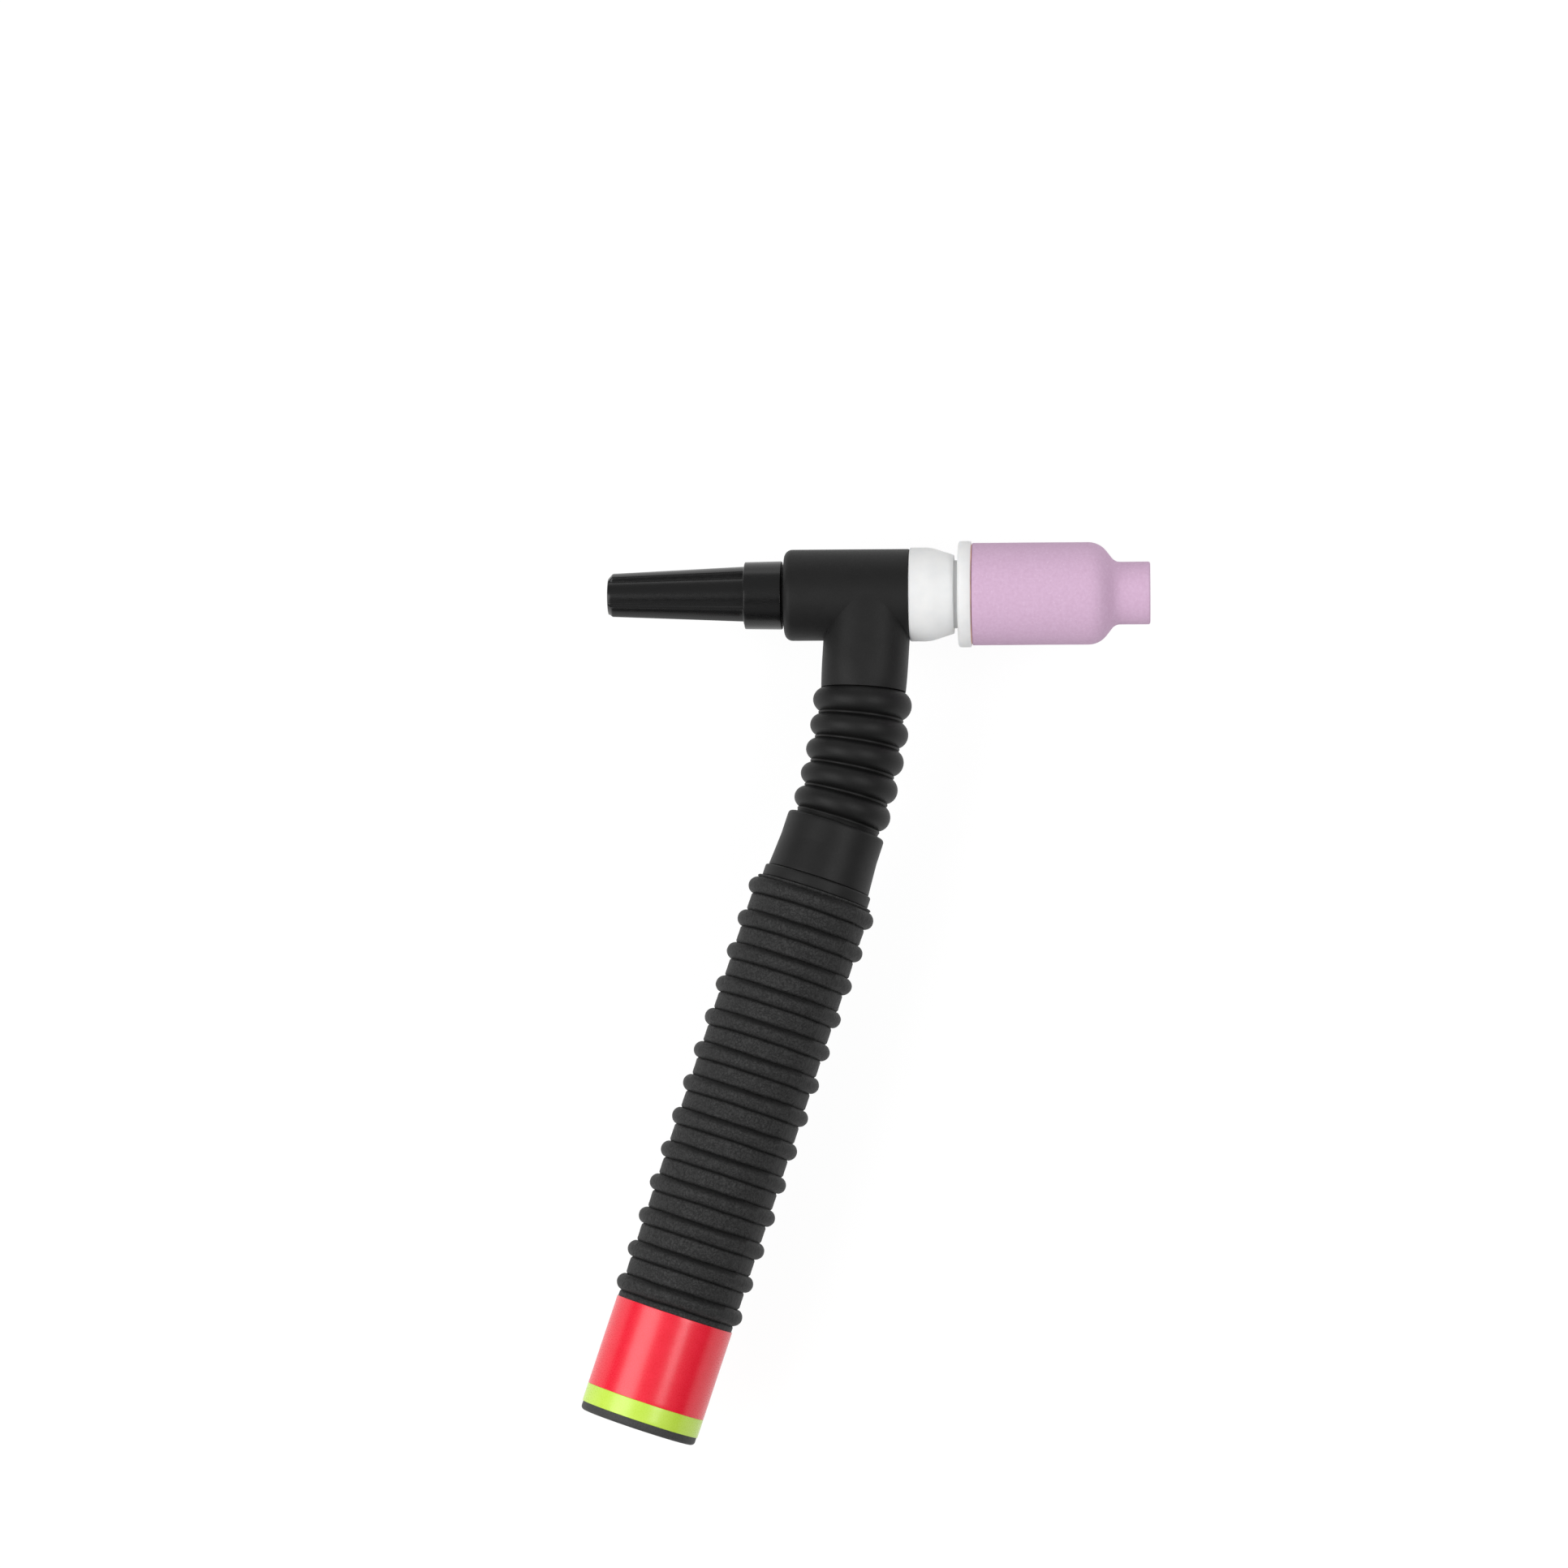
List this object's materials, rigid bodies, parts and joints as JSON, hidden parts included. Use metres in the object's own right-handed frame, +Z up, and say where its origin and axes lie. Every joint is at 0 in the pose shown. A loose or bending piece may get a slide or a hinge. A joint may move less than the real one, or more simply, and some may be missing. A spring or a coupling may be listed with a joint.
{
  "type": "tig welding torch",
  "caption": "Air-cooled TIG welding torch with a ceramic nozzle, gas lens, finger-ribbed back cap, ribbed flexible neck and a ribbed round handle with a colour band.",
  "frame": {"origin": "under the middle of the part, on the surface that the grip's ribs lie on", "axes": "+X along the head axis towards the nozzle, +Y from the handle towards the head, +Z up from the surface"},
  "size_m": [0.1338, 0.2126, 0.0308],
  "materials": {
    "cap_phenolic": "glossy moulded phenolic",
    "brass": "turned brass",
    "seal_rubber": "smooth rubber",
    "head_rubber": "smooth matte moulded rubber",
    "white_insulator": "turned white fluoropolymer",
    "copper_alloy": "turned copper alloy",
    "screen_steel": "fine wire mesh",
    "tungsten": "ground tungsten",
    "pink_ceramic": "unglazed pressed alumina",
    "neck_rubber": "smooth matte moulded rubber",
    "sleeve_plastic": "satin moulded plastic",
    "grip_rubber": "matte rubber with fine moulded grain",
    "label_red": "satin printed film",
    "label_lime": "satin printed film"
  },
  "bodies": {
    "handle": {"handle_grip": "grip_rubber", "handle_sleeve": "sleeve_plastic", "label_band": "label_red", "label_stripe": "label_lime", "neck_cuff": "neck_rubber", "cable_connector": "brass"},
    "neck": {"neck_bellows": "neck_rubber", "neck_tube": "copper_alloy"},
    "head": {"head_jacket": "head_rubber", "head_core": "brass", "front_insulator": "white_insulator", "gas_lens_insulator": "white_insulator", "gas_lens_body": "copper_alloy", "gas_lens_screens": "screen_steel", "gas_lens_snap_ring": "screen_steel", "collet": "copper_alloy"},
    "back_cap_seal": {"back_cap_o_ring": "seal_rubber"},
    "back_cap": {"back_cap": "cap_phenolic", "back_cap_stud": "brass"},
    "nozzle": {"ceramic_nozzle": "pink_ceramic"},
    "electrode": {"tungsten_electrode": "tungsten"}
  },
  "joints": [
    {"name": "neck_bend", "type": "hinge", "parent": "handle", "child": "neck", "pos_m": [-0.00478, 0.04717, 0.0154], "axis": [0, 0, 1], "range_deg": [-30, 30], "deforming": ["neck_bellows", "neck_tube"]},
    {"name": "neck_swing", "type": "hinge", "parent": "neck", "child": "head", "pos_m": [-0.0016, 0.06366, 0.0154], "axis": [0.9921, -0.1253, 0], "range_deg": [-30, 30], "deforming": ["neck_bellows", "neck_tube"]},
    {"name": "back_cap_travel", "type": "slide", "parent": "head", "child": "back_cap_seal", "axis": [-1, 0, 0], "range_m": [0, 0.00793]},
    {"name": "back_cap_turn", "type": "hinge", "parent": "back_cap_seal", "child": "back_cap", "pos_m": [-0.0245, 0.09378, 0.0154], "axis": [-1, 0, 0], "range_deg": [0, 2700]},
    {"name": "nozzle_draw", "type": "slide", "parent": "head", "child": "nozzle", "axis": [1, 0, 0], "range_m": [0, 0.045]},
    {"name": "electrode_slide", "type": "slide", "parent": "head", "child": "electrode", "axis": [1, 0, 0], "range_m": [-0.006, 0.024]}
  ],
  "couplings": [
    {"joint": "back_cap_turn", "follows": "back_cap_travel", "rad_per_m": 5938.6}
  ]
}
